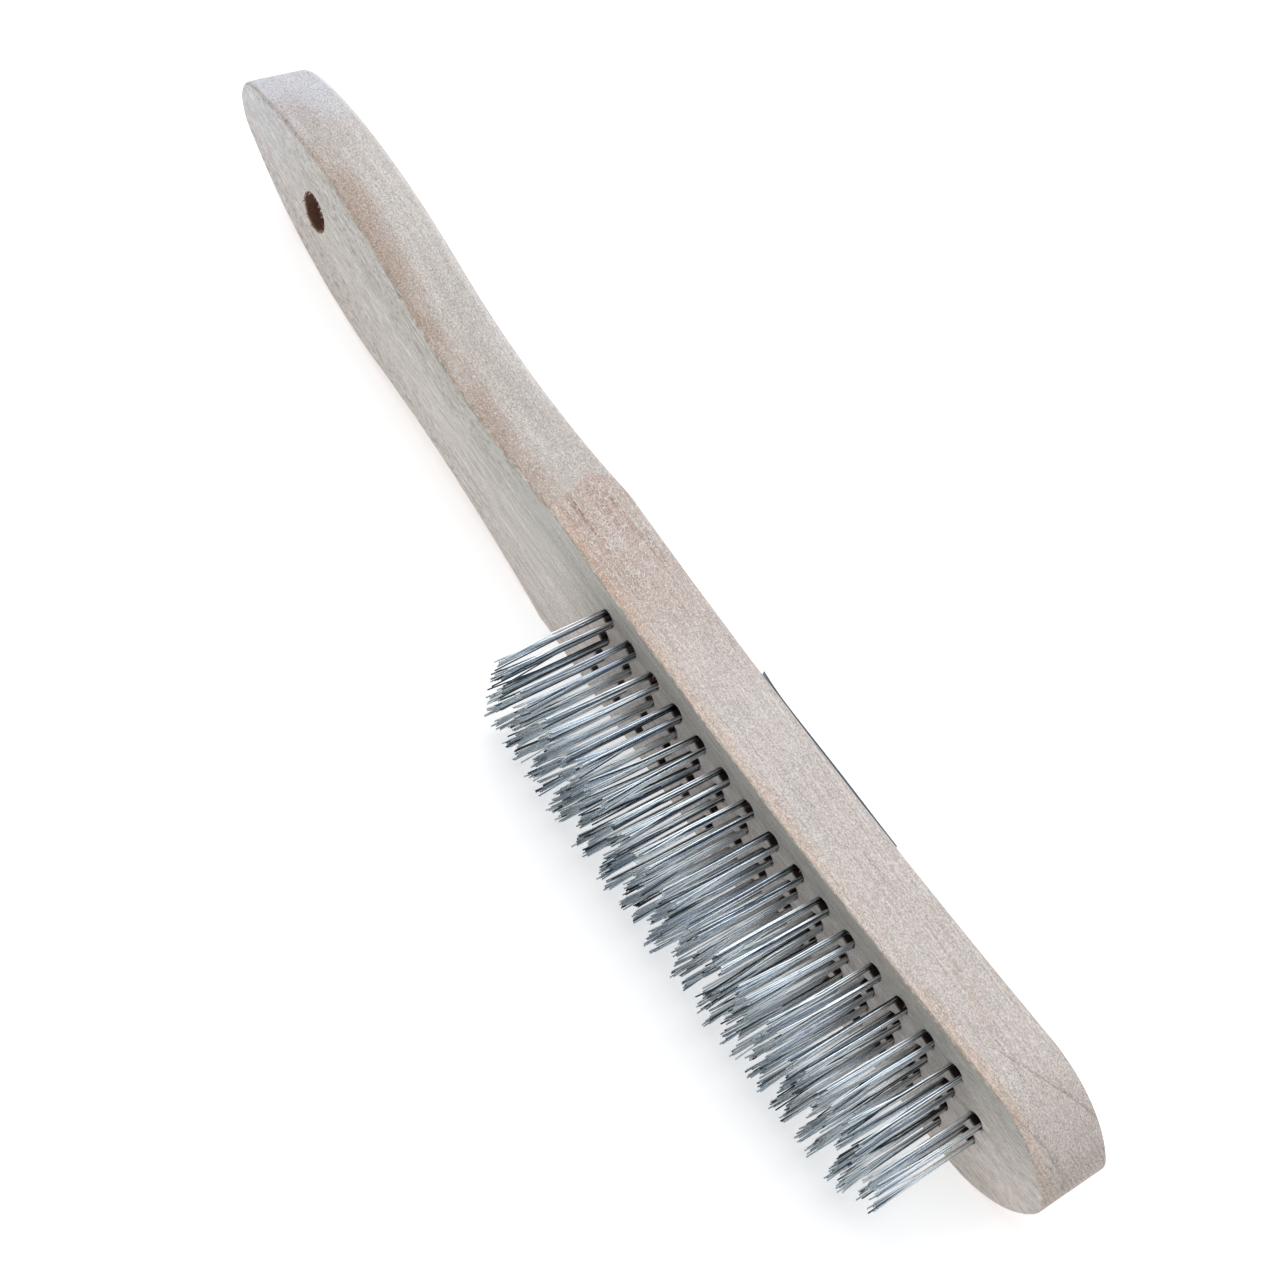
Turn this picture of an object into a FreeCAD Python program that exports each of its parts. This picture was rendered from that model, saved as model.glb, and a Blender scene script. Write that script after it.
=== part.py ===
import FreeCAD, Part
import math
import os
import Sketcher

# Wire brush: a one-piece arched hardwood block and handle, drilled for 62 wire tufts.
# It lies on the flat far side of its head.  +X runs from the handle toward the nose, +Y from the
# bristle face toward the back, +Z up.  The origin is the middle of the flat side it rests on.

doc = FreeCAD.newDocument("wire_brush")

# ---------------------------------------------------------------- driving dimensions, mm
DIMENSIONS = {
    "stock_width": 32.4,          # width of the hardwood strip, and of the flat-sided head
    "thickness": 16.0,            # bristle face to back
    "arch_radius": 1750.0,        # bristle face, which is the convex one
    "arch_x": -51.5,              # where the arched bristle face bulges furthest
    "arch_y": 1741.24,            # centre of the arch
    "handle_end_x": -197.0,
    "nose_end_x": 94.9,
    "tip_radius": 8.8,            # end of the handle, seen from the bristle side
    "bulb_radius": 130.0,         # swelling that fills the palm, as wide as the strip
    "waist_radius": 200.0,        # hollow between the swelling and the head
    "waist_x": -104.0,
    "crown_depth": 12.9,          # where the crowned sides of the handle stand out furthest
    "crown_front_taper": 3.6,     # degrees, from there to the bristle face
    "crown_back_taper": 5.0,      # degrees, from there to the back
    "front_edge_round": 1.0,      # nearly crisp, beside the bristle face
    "back_round_at_tip": 7.5,     # the back edges, easing toward the head
    "back_round_at_bulb": 7.0,
    "back_round_at_waist": 2.0,
    "back_round_at_head": 0.8,
    "cutter_half_width": 21.5,    # where the waist curve has left the strip
    "nose_tip_radius": 6.0,
    "nose_shoulder_radius": 22.5,
    "hang_hole_x": -161.2,
    "hang_hole_radius": 4.5,
    "first_row_x": -44.8,
    "row_pitch": 8.0,
    "column_pitch": 6.0,
    "tuft_hole_radius": 2.0,
    "tuft_hole_depth": 11.0,
    "wire_trim": 25.0,            # wire standing out of the bristle face
    "tuft_width": 2.2,            # across the brush
    "leg_thickness": 0.6,         # one half of a tuft, as solid metal
    "leg_offset": 1.5,            # middle of a half from the middle of its hole
    "spread_depth": 5.0,          # where the two halves start to close on the anchor
    "neck_depth": 8.2,
    "fold_depth": 9.8,
    "anchor_thickness": 0.36,
    "anchor_height": 1.7,
    "anchor_length": 4.8,
    "anchor_bottom_depth": 9.9,
    "label_start_x": -17.5,
    "label_length": 44.0,
    "label_width": 31.4,
    "label_thickness": 0.2,
}
FULL_ROWS = 15
FULL_COLUMNS = 4
NOSE_COLUMNS = 2

sheet = doc.addObject("Spreadsheet::Sheet", "Dims")
for line_number, (alias, value) in enumerate(DIMENSIONS.items(), start=1):
    sheet.set("A%d" % line_number, alias)
    sheet.set("B%d" % line_number, str(value))
    sheet.setAlias("B%d" % line_number, alias)
doc.recompute()


def dim(alias):
    return float(sheet.get(alias))


# ---------------------------------------------------------------- helpers
UP = FreeCAD.Vector(0, 0, 1)
ARCH_HEIGHT = "(Dims.arch_y - sqrt(Dims.arch_radius ^ 2 - (%s - Dims.arch_x) ^ 2))"
ARCH_ANGLE = "asin((%s - Dims.arch_x) / Dims.arch_radius)"


def face_y(x):
    """Y of the bristle face at x."""
    return dim("arch_y") - math.sqrt(dim("arch_radius") ** 2 - (x - dim("arch_x")) ** 2)


def new_body(name, x_text):
    """A body standing square on the bristle face at x_text, with +Y into the wood."""
    body = doc.addObject("PartDesign::Body", name)
    body.Label = name
    body.AllowCompound = True
    body.Placement = FreeCAD.Placement(FreeCAD.Vector(0, 0, 0), FreeCAD.Rotation(UP, 1))
    body.setExpression("Placement.Base.x", x_text)
    body.setExpression("Placement.Base.y", ARCH_HEIGHT % x_text)
    body.setExpression("Placement.Base.z", "Dims.stock_width / 2")
    body.setExpression("Placement.Rotation.Angle", ARCH_ANGLE % x_text)
    return body


def level_body(name):
    """A body square to the frame, halfway up the strip."""
    body = doc.addObject("PartDesign::Body", name)
    body.Label = name
    body.setExpression("Placement.Base.z", "Dims.stock_width / 2")
    return body


def new_sketch(body, name, plane, lift_text=None):
    """A sketch on one of the body's own origin planes, lifted along the plane's normal."""
    sketch = body.newObject("Sketcher::SketchObject", name)
    support = [f for f in body.Origin.OriginFeatures if f.Role == plane][0]
    sketch.AttachmentSupport = [(support, "")]
    sketch.MapMode = "FlatFace"
    if lift_text:
        sketch.setExpression("AttachmentOffset.Base.z", lift_text)
    return sketch


def pad(body, sketch, name, length_text, midplane=False, reverse=False):
    doc.recompute()
    feature = body.newObject("PartDesign::Pad", name)
    feature.Profile = sketch
    feature.Midplane = midplane
    feature.Reversed = reverse
    feature.setExpression("Length", length_text)
    doc.recompute()
    return feature


def arc(cx, cy, radius, start_degrees, end_degrees):
    circle = Part.Circle(FreeCAD.Vector(cx, cy, 0), UP, radius)
    return Part.ArcOfCircle(circle, math.radians(start_degrees), math.radians(end_degrees))


def line(x1, y1, x2, y2):
    return Part.LineSegment(FreeCAD.Vector(x1, y1, 0), FreeCAD.Vector(x2, y2, 0))


def join(sketch, kind, *ends):
    """Add one constraint for each (curve, end, curve, end)."""
    for end in ends:
        sketch.addConstraint(Sketcher.Constraint(kind, *end))


def drive(sketch, kind, place, value, text):
    """A dimension with a starting value, driven by the spreadsheet."""
    index = sketch.addConstraint(Sketcher.Constraint(kind, *place, value))
    sketch.setExpression("Constraints[%d]" % index, text)


def rectangle(sketch, cx, cy, width, height, texts):
    """A rectangle centred on cx, cy; texts are its centre x, centre y, width and height."""
    first = sketch.GeometryCount
    west, east = cx - width / 2, cx + width / 2
    south, north = cy - height / 2, cy + height / 2
    corners = [(west, south), (east, south), (east, north), (west, north)]
    for i in range(4):
        sketch.addGeometry(line(*corners[i], *corners[(i + 1) % 4]), False)
    join(sketch, "Coincident", *[(first + i, 2, first + (i + 1) % 4, 1) for i in range(4)])
    for i in range(4):
        kind = "Horizontal" if i % 2 == 0 else "Vertical"
        sketch.addConstraint(Sketcher.Constraint(kind, first + i))
    x_text, y_text, width_text, height_text = texts
    drive(sketch, "DistanceX", (first, 1, first, 2), width, width_text)
    drive(sketch, "DistanceY", (first + 1, 1, first + 1, 2), height, height_text)
    drive(sketch, "DistanceX", (-1, 1, first, 1), west, "(%s) - (%s) / 2" % (x_text, width_text))
    drive(sketch, "DistanceY", (-1, 1, first, 1), south, "(%s) - (%s) / 2" % (y_text, height_text))


def arched_strip(body, name, x_start, x_end, outer, inner, outer_text, inner_text, width_text):
    """Part of a ring about the arch's centre, between two radii, padded across the brush."""
    sketch = new_sketch(body, name + "_outline", "XY_Plane")
    cx, cy = dim("arch_x"), dim("arch_y")
    ends = []
    for x in (x_start, x_end):
        ends.append(270 + math.degrees(math.asin((x - cx) / outer)))
    points = []
    for radius in (outer, inner):
        sketch.addGeometry(arc(cx, cy, radius, *ends), False)
        for angle in ends:
            turn = math.radians(angle)
            points.append((cx + radius * math.cos(turn), cy + radius * math.sin(turn)))
    sketch.addGeometry(line(*points[0], *points[2]), False)
    sketch.addGeometry(line(*points[1], *points[3]), False)
    join(sketch, "Coincident", (2, 1, 0, 1), (2, 2, 1, 1), (3, 1, 0, 2), (3, 2, 1, 2), (0, 3, 1, 3))
    drive(sketch, "DistanceX", (-1, 1, 0, 3), cx, "Dims.arch_x")
    drive(sketch, "DistanceY", (-1, 1, 0, 3), cy, "Dims.arch_y")
    drive(sketch, "Radius", (0,), outer, outer_text)
    drive(sketch, "Radius", (1,), inner, inner_text)
    for end, point in ((1, points[0]), (2, points[1])):
        sketch.addConstraint(Sketcher.Constraint("DistanceX", -1, 1, 0, end, point[0]))
    for end, point in ((1, points[2]), (2, points[3])):
        sketch.addConstraint(Sketcher.Constraint("DistanceX", -1, 1, 1, end, point[0]))
    return pad(body, sketch, name + "_pad", width_text, midplane=True)


# ---------------------------------------------------------------- handle_block: arched strip
# The blank is wider than the head, so that the handle can be shaped before it is cut to width.
strip = level_body("strip")
arched_strip(strip, "strip", dim("handle_end_x") - 15, dim("nose_end_x") + 15,
             dim("arch_radius"), dim("arch_radius") - dim("thickness"),
             "Dims.arch_radius", "Dims.arch_radius - Dims.thickness", "Dims.stock_width * 2")

# ---------------------------------------------------------------- handle_block: handle outline
# Tip, swelling and waist are tangent arcs; the waist curve runs on until it has left the strip.
# The sides stand out furthest near the back, and taper from there to the face and to the back.
half_width = dim("stock_width") / 2
tip_r, bulb_r, waist_r = dim("tip_radius"), dim("bulb_radius"), dim("waist_radius")
bulb_centre_y = half_width - bulb_r
tip_to_bulb = math.sqrt((bulb_r - tip_r) ** 2 - bulb_centre_y ** 2)
tip_centre_x = dim("handle_end_x") + tip_r
bulb_x = tip_centre_x + tip_to_bulb
bulb_to_waist = dim("waist_x") - bulb_x
blend = math.asin(bulb_to_waist / (bulb_r + waist_r))
waist_centre_y = bulb_centre_y + (bulb_r + waist_r) * math.cos(blend)
tip_turn = 90 + math.degrees(math.asin(tip_to_bulb / (bulb_r - tip_r)))
waist_turn = math.degrees(blend)
exit_turn = math.degrees(math.acos((waist_centre_y - dim("cutter_half_width")) / waist_r))
exit_x = bulb_to_waist + waist_r * math.sin(math.radians(exit_turn))
exit_y = dim("cutter_half_width")
beyond_x = dim("nose_end_x") - bulb_x + 30

handle_form = new_body("handle_form", "Dims.waist_x - %r" % bulb_to_waist)
outline = new_sketch(handle_form, "handle_outline", "XZ_Plane", "-Dims.crown_depth")
for curve in (
    arc(-tip_to_bulb, 0, tip_r, tip_turn, 360 - tip_turn),
    arc(0, bulb_centre_y, bulb_r, 90 - waist_turn, tip_turn),
    arc(bulb_to_waist, waist_centre_y, waist_r, 270 - waist_turn, 270 + exit_turn),
    arc(0, -bulb_centre_y, bulb_r, 360 - tip_turn, 270 + waist_turn),
    arc(bulb_to_waist, -waist_centre_y, waist_r, 90 - exit_turn, 90 + waist_turn),
    line(exit_x, exit_y, beyond_x, exit_y),
    line(beyond_x, exit_y, beyond_x, -exit_y),
    line(beyond_x, -exit_y, exit_x, -exit_y),
):
    outline.addGeometry(curve, False)
join(outline, "Tangent", (0, 1, 1, 2), (1, 1, 2, 1), (0, 2, 3, 1), (3, 2, 4, 2))
join(outline, "Coincident", (2, 2, 5, 1), (5, 2, 6, 1), (6, 2, 7, 1), (7, 2, 4, 1))
join(outline, "Horizontal", (5,), (7,))
join(outline, "Equal", (1, 3))
join(outline, "PointOnObject", (1, 3, -2))
drive(outline, "Radius", (0,), tip_r, "Dims.tip_radius")
drive(outline, "Radius", (1,), bulb_r, "Dims.bulb_radius")
drive(outline, "Radius", (2,), waist_r, "Dims.waist_radius")
drive(outline, "DistanceY", (1, 3, -1, 1), -bulb_centre_y, "Dims.bulb_radius - Dims.stock_width / 2")
drive(outline, "DistanceX", (1, 3, 2, 3), bulb_to_waist, "%r" % bulb_to_waist)
drive(outline, "DistanceY", (-1, 1, 5, 2), exit_y, "Dims.cutter_half_width")
outline.addConstraint(Sketcher.Constraint("Symmetric", 1, 3, 3, 3, -1))
outline.addConstraint(Sketcher.Constraint("Symmetric", 2, 3, 4, 3, -1))
outline.addConstraint(Sketcher.Constraint("Symmetric", 6, 1, 6, 2, -1))
outline.addConstraint(Sketcher.Constraint("DistanceX", -1, 1, 6, 1, beyond_x))
crowned = pad(handle_form, outline, "handle_pad", "Dims.thickness * 2")
crowned.SideType = "Two sides"
crowned.setExpression("Length2", "Dims.thickness * 2")
crowned.setExpression("TaperAngle", "-Dims.crown_front_taper")
crowned.setExpression("TaperAngle2", "-Dims.crown_back_taper")
doc.recompute()

shaped = doc.addObject("Part::MultiCommon", "shaped_handle")
shaped.Shapes = [strip, handle_form]
doc.recompute()

# ---------------------------------------------------------------- handle_block: rounded edges
# The front edge is only broken; the back edge is well rounded at the tip and less toward the head.


def on_arch(edge, radius):
    """True for an edge that lies along the bristle face or the back, by its radius."""
    return all(abs(math.hypot(point.x - dim("arch_x"), point.y - dim("arch_y")) - radius) < 0.01
               for point in edge.discretize(5))


def on_handle_curve(edge):
    points = edge.discretize(3)
    off_middle = max(abs(point.z - half_width) for point in points)
    return max(point.x for point in points) < bulb_x + exit_x + 3 and off_middle < exit_y + 0.6


def back_round(x):
    """Radius of the back edges at x: full at the tip, and almost nothing at the head."""
    stages = [(dim("handle_end_x"), dim("back_round_at_tip")), (bulb_x, dim("back_round_at_bulb")),
              (dim("waist_x"), dim("back_round_at_waist")), (bulb_x + exit_x, dim("back_round_at_head"))]
    for (x0, r0), (x1, r1) in zip(stages, stages[1:]):
        if x <= x1:
            return r0 + (r1 - r0) * max(0, x - x0) / (x1 - x0)
    return dim("back_round_at_head")


rounds = []
for number, edge in enumerate(shaped.Shape.Edges, start=1):
    if on_handle_curve(edge):
        if on_arch(edge, dim("arch_radius")):
            rounds.append((number, dim("front_edge_round"), dim("front_edge_round")))
        elif on_arch(edge, dim("arch_radius") - dim("thickness")):
            ends = [edge.valueAt(edge.FirstParameter).x, edge.valueAt(edge.LastParameter).x]
            rounds.append((number, back_round(ends[0]), back_round(ends[1])))
rounded = doc.addObject("Part::Fillet", "rounded_handle")
rounded.Base = shaped
rounded.Edges = rounds
doc.recompute()

# ---------------------------------------------------------------- handle_block: head and nose
# The head keeps the strip's flat sides; its nose is cut square to the arched face.
nose_r, shoulder_r = dim("nose_tip_radius"), dim("nose_shoulder_radius")
shoulder_drop = half_width - shoulder_r
shoulder_back = math.sqrt((shoulder_r - nose_r) ** 2 - shoulder_drop ** 2)
shoulder_x = -nose_r - shoulder_back
nose_turn = math.degrees(math.asin(-shoulder_drop / (shoulder_r - nose_r)))
behind_x = dim("handle_end_x") - dim("nose_end_x") - 30

head_form = new_body("head_form", "Dims.nose_end_x")
outline = new_sketch(head_form, "head_outline", "XZ_Plane")
for curve in (
    line(behind_x, half_width, shoulder_x, half_width),
    arc(shoulder_x, shoulder_drop, shoulder_r, nose_turn, 90),
    arc(-nose_r, 0, nose_r, -nose_turn, nose_turn),
    arc(shoulder_x, -shoulder_drop, shoulder_r, 270, 360 - nose_turn),
    line(shoulder_x, -half_width, behind_x, -half_width),
    line(behind_x, -half_width, behind_x, half_width),
):
    outline.addGeometry(curve, False)
join(outline, "Tangent", (0, 2, 1, 2), (1, 1, 2, 2), (2, 1, 3, 2), (3, 1, 4, 1))
join(outline, "Coincident", (4, 2, 5, 1), (5, 2, 0, 1))
join(outline, "Horizontal", (0,), (4,))
join(outline, "Equal", (1, 3))
join(outline, "PointOnObject", (2, 3, -1))
drive(outline, "Radius", (1,), shoulder_r, "Dims.nose_shoulder_radius")
drive(outline, "Radius", (2,), nose_r, "Dims.nose_tip_radius")
drive(outline, "DistanceX", (2, 3, -1, 1), nose_r, "Dims.nose_tip_radius")
drive(outline, "DistanceY", (-1, 1, 0, 1), half_width, "Dims.stock_width / 2")
outline.addConstraint(Sketcher.Constraint("Symmetric", 5, 1, 5, 2, -1))
outline.addConstraint(Sketcher.Constraint("DistanceX", -1, 1, 5, 1, behind_x))
pad(head_form, outline, "head_pad", "Dims.thickness * 6", midplane=True)

blank = doc.addObject("Part::MultiCommon", "blank")
blank.Shapes = [rounded, head_form]
doc.recompute()

# ---------------------------------------------------------------- places of rows and columns
ROWS = []
for row in range(FULL_ROWS + 1):
    x_text = "(Dims.first_row_x + %d * Dims.row_pitch)" % row
    ROWS.append((row + 1, x_text, FULL_COLUMNS if row < FULL_ROWS else NOSE_COLUMNS))


def column_places(columns):
    """Each column's distance from the middle of the strip, with the text that drives it."""
    steps = [column - (columns - 1) / 2 for column in range(columns)]
    return [(step * dim("column_pitch"), "%r * Dims.column_pitch" % step) for step in steps]


# ---------------------------------------------------------------- handle_block: drilling
# Blind holes square to the arched face, each with the slit that its anchor cuts in the wood.
cutters = []
for number, x_text, columns in ROWS:
    drill = new_body("drill_row_%02d" % number, x_text)
    circles = new_sketch(drill, "holes_%02d" % number, "XZ_Plane")
    for index, (z, z_text) in enumerate(column_places(columns)):
        circles.addGeometry(Part.Circle(FreeCAD.Vector(0, z, 0), UP, dim("tuft_hole_radius")), False)
        circles.addConstraint(Sketcher.Constraint("PointOnObject", index, 3, -2))
        drive(circles, "DistanceY", (-1, 1, index, 3), z, z_text)
        drive(circles, "Radius", (index,), dim("tuft_hole_radius"), "Dims.tuft_hole_radius")
    pad(drill, circles, "drill_%02d" % number, "Dims.tuft_hole_depth * 2", midplane=True)
    cutters.append(drill)

hang_drill = doc.addObject("Part::Cylinder", "hang_drill")
hang_drill.Placement = FreeCAD.Placement(FreeCAD.Vector(0, 0, 0),
                                         FreeCAD.Rotation(FreeCAD.Vector(1, 0, 0), -90))
hang_drill.setExpression("Radius", "Dims.hang_hole_radius")
hang_drill.setExpression("Height", "Dims.thickness * 3")
hang_drill.setExpression("Placement.Base.x", "Dims.hang_hole_x")
hang_drill.setExpression("Placement.Base.y", "-Dims.thickness")
hang_drill.setExpression("Placement.Base.z", "Dims.stock_width / 2")
cutters.append(hang_drill)
doc.recompute()

# ---------------------------------------------------------------- anchor rows
# A flat steel anchor crosses each hole inside the fold and bites into the wood at both ends.
nodes = {}
for number, x_text, columns in ROWS:
    name = "anchor_row_%02d" % number
    anchors = new_body(name, x_text)
    strips = new_sketch(anchors, "anchor_outline_%02d" % number, "XZ_Plane",
                        "-Dims.anchor_bottom_depth")
    for z, z_text in column_places(columns):
        rectangle(strips, 0, z, dim("anchor_thickness"), dim("anchor_length"),
                  ("0", z_text, "Dims.anchor_thickness", "Dims.anchor_length"))
    pad(anchors, strips, "anchor_%02d" % number, "Dims.anchor_height")
    nodes[name] = anchors
    cutters.append(anchors)

drilled = doc.addObject("Part::MultiFuse", "all_holes")
drilled.Shapes = cutters
block = doc.addObject("Part::Cut", "handle_block")
block.Label = "handle_block"
block.Base = blank
block.Tool = drilled
doc.recompute()
nodes["handle_block"] = block

# ---------------------------------------------------------------- tuft rows
# Each tuft is folded in half round its anchor, and its two halves stand at the handle side and
# the nose side of the hole.  A half is the wires' own metal pressed into one flat ribbon.
trim, spread = dim("wire_trim"), dim("spread_depth")
neck, fold = dim("neck_depth"), dim("fold_depth")
outer_x = dim("leg_offset") + dim("leg_thickness") / 2
inner_x = dim("leg_offset") - dim("leg_thickness") / 2
pinch = dim("anchor_thickness") / 2 + 0.02
pinch_outer = pinch + dim("leg_thickness")
U_SIDE = [(outer_x, -trim), (outer_x, spread), (pinch_outer, neck), (pinch_outer, fold)]
U_INNER = [(pinch, fold), (pinch, neck), (inner_x, spread), (inner_x, -trim)]


def tuft_outline(sketch):
    """The folded ribbon seen from the side of the brush, with +Y into the wood."""
    right = U_SIDE + U_INNER
    left = [(-x, y) for x, y in right]
    for side in (right, left):
        for group in (side[:4], side[4:]):
            for start, end in zip(group, group[1:]):
                sketch.addGeometry(line(*start, *end), False)
        sketch.addGeometry(line(*side[7], *side[0]), False)
    # seven lines on each side: 0-2 outer, 3-5 inner, 6 cut end; then the two arcs of the fold
    sketch.addGeometry(arc(0, fold, pinch_outer, 0, 180), False)
    sketch.addGeometry(arc(0, fold, pinch, 0, 180), False)
    for first, arc_end in ((0, 1), (7, 2)):
        join(sketch, "Coincident", (first, 2, first + 1, 1), (first + 1, 2, first + 2, 1),
             (first + 3, 2, first + 4, 1), (first + 4, 2, first + 5, 1),
             (first + 5, 2, first + 6, 1), (first + 6, 2, first, 1),
             (first + 2, 2, 14, arc_end), (first + 3, 1, 15, arc_end))
        join(sketch, "Vertical", (first + 2,))
    join(sketch, "Vertical", (0,), (3,), (5,))
    join(sketch, "Horizontal", (6,))
    join(sketch, "Coincident", (14, 3, 15, 3))
    for end in ((0, 1), (0, 2), (1, 2), (3, 2), (4, 2), (5, 2)):
        mirrored = (end[0] + 7, end[1])
        sketch.addConstraint(Sketcher.Constraint("Symmetric", *end, *mirrored, -2))
    drive(sketch, "Radius", (15,), pinch, "Dims.anchor_thickness / 2 + 0.02")
    drive(sketch, "Radius", (14,), pinch_outer,
          "Dims.anchor_thickness / 2 + 0.02 + Dims.leg_thickness")
    drive(sketch, "DistanceY", (-1, 1, 14, 3), fold, "Dims.fold_depth")
    drive(sketch, "DistanceX", (-1, 1, 0, 1), outer_x, "Dims.leg_offset + Dims.leg_thickness / 2")
    drive(sketch, "DistanceX", (-1, 1, 5, 2), inner_x, "Dims.leg_offset - Dims.leg_thickness / 2")
    drive(sketch, "DistanceY", (0, 1, -1, 1), trim, "Dims.wire_trim")
    drive(sketch, "DistanceY", (-1, 1, 0, 2), spread, "Dims.spread_depth")
    drive(sketch, "DistanceY", (-1, 1, 1, 2), neck, "Dims.neck_depth")
    join(sketch, "Horizontal", (0, 2, 4, 2), (1, 2, 3, 2))


for number, x_text, columns in ROWS:
    name = "tuft_row_%02d" % number
    tufts = new_body(name, x_text)
    first_z = column_places(columns)[0][1]
    ribbon = new_sketch(tufts, "tuft_outline_%02d" % number, "XY_Plane", first_z)
    tuft_outline(ribbon)
    tuft = pad(tufts, ribbon, "tuft_%02d" % number, "Dims.tuft_width", midplane=True)
    across = tufts.newObject("PartDesign::LinearPattern", "across_%02d" % number)
    across.Originals = [tuft]
    across.Direction = ([f for f in tufts.Origin.OriginFeatures if f.Role == "Z_Axis"][0], [""])
    across.Occurrences = columns
    across.setExpression("Length", "Dims.column_pitch * %d" % (columns - 1))
    tufts.Tip = across
    doc.recompute()
    nodes[name] = tufts

# ---------------------------------------------------------------- label on the back of the head
label = level_body("back_label")
back_radius = dim("arch_radius") - dim("thickness")
arched_strip(label, "label", dim("label_start_x"), dim("label_start_x") + dim("label_length"),
             back_radius, back_radius - dim("label_thickness"),
             "Dims.arch_radius - Dims.thickness",
             "Dims.arch_radius - Dims.thickness - Dims.label_thickness", "Dims.label_width")
nodes["back_label"] = label
doc.recompute()

# ---------------------------------------------------------------- check and export
for item in doc.Objects:
    for state in item.State:
        if state in ("Invalid", "Error"):
            raise RuntimeError("%s is %s" % (item.Name, state))
os.makedirs("parts", exist_ok=True)
for name, node in nodes.items():
    shape = node.Shape
    if shape.isNull() or not shape.isValid() or not shape.Solids:
        raise RuntimeError("%s has no valid solid" % name)
    shape.exportStep("parts/%s.step" % name)
    box = shape.BoundBox
    print("%-14s %2d solids %10.2f mm3  X %7.2f %7.2f  Y %6.2f %6.2f  Z %5.2f %5.2f" % (
        name, len(shape.Solids), shape.Volume, box.XMin, box.XMax, box.YMin, box.YMax,
        box.ZMin, box.ZMax))
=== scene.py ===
import math
import random

import bmesh
import bpy
from mathutils import Matrix, Vector


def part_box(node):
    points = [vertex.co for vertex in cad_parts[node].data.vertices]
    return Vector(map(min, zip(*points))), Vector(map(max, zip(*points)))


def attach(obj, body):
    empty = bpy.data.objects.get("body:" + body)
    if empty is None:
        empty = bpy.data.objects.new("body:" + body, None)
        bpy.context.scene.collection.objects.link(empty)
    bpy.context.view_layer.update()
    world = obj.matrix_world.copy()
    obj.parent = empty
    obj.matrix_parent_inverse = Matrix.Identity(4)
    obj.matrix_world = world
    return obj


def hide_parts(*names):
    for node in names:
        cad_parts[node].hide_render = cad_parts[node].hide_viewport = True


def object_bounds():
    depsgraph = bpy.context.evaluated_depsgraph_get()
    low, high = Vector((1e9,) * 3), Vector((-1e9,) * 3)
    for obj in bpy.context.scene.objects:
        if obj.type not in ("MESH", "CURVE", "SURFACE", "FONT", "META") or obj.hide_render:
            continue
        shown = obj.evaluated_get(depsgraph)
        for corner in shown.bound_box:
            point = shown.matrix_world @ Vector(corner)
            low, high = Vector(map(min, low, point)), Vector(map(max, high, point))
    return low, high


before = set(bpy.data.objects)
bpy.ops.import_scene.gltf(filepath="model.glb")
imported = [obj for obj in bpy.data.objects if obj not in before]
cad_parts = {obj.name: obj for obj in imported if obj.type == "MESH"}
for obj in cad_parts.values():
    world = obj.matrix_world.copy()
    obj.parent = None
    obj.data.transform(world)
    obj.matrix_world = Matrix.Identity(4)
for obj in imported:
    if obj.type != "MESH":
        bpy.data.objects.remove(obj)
bpy.ops.object.select_all(action="DESELECT")
cad_low, cad_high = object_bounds()


# ---------------------------------------------------------------- the hardwood block
# One piece of pale beech, head and handle together, band-sawn to a slight arch.  The handle is
# shaped and rounded over, and the head keeps the flat, slightly furry sides of the sawn strip.
# Its edges are worn, and the tip of the handle is sanded back by hand.
MM = 0.001
arch_radius = 1750.0 * MM
arch_centre = Vector((-51.5, 1741.24, 0)) * MM
block_thickness = 16.0 * MM
block_low, block_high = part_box("handle_block")
middle_z = (block_low.z + block_high.z) / 2
first_row_x = -44.8 * MM
row_pitch = 8.0 * MM
row_count = 16
hang_hole_x, hang_hole_radius = -161.2 * MM, 4.5 * MM
edge_wear = 0.28 * MM
on_surface = 0.02 * MM
tufts_start, tufts_end = -48 * MM, 82 * MM
tufts_half_width = 11.5 * MM
tip_sanded_to, tip_lean, tip_narrowing = -170 * MM, 4.0 * MM, 0.12


def only(piece):
    """Select and activate one object, and nothing else."""
    bpy.ops.object.select_all(action="DESELECT")
    piece.select_set(True)
    bpy.context.view_layer.objects.active = piece
    return piece


def depth_in_block(point):
    """How far a point lies behind the arched bristle face."""
    return arch_radius - math.hypot(point[0] - arch_centre.x, point[1] - arch_centre.y)


def on_the_arch(x, depth=0.0):
    """A point of the arched face at that x, moved that far into the block, and its outward way."""
    slope = math.asin((x - arch_centre.x) / arch_radius)
    outward = Vector((math.sin(slope), -math.cos(slope), 0))
    return arch_centre + outward * (arch_radius - depth), outward


def share(value, low, high):
    """0 at low and 1 at high, and no further."""
    return min(1.0, max(0.0, (value - low) / (high - low)))


def settle(piece, slot, *nodes):
    """Let a finished piece ride on the brush, hiding the CAD parts that it stands for; the slot is not used.
    """
    if nodes:
        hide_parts(*nodes)
    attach(piece, "root")


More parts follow.
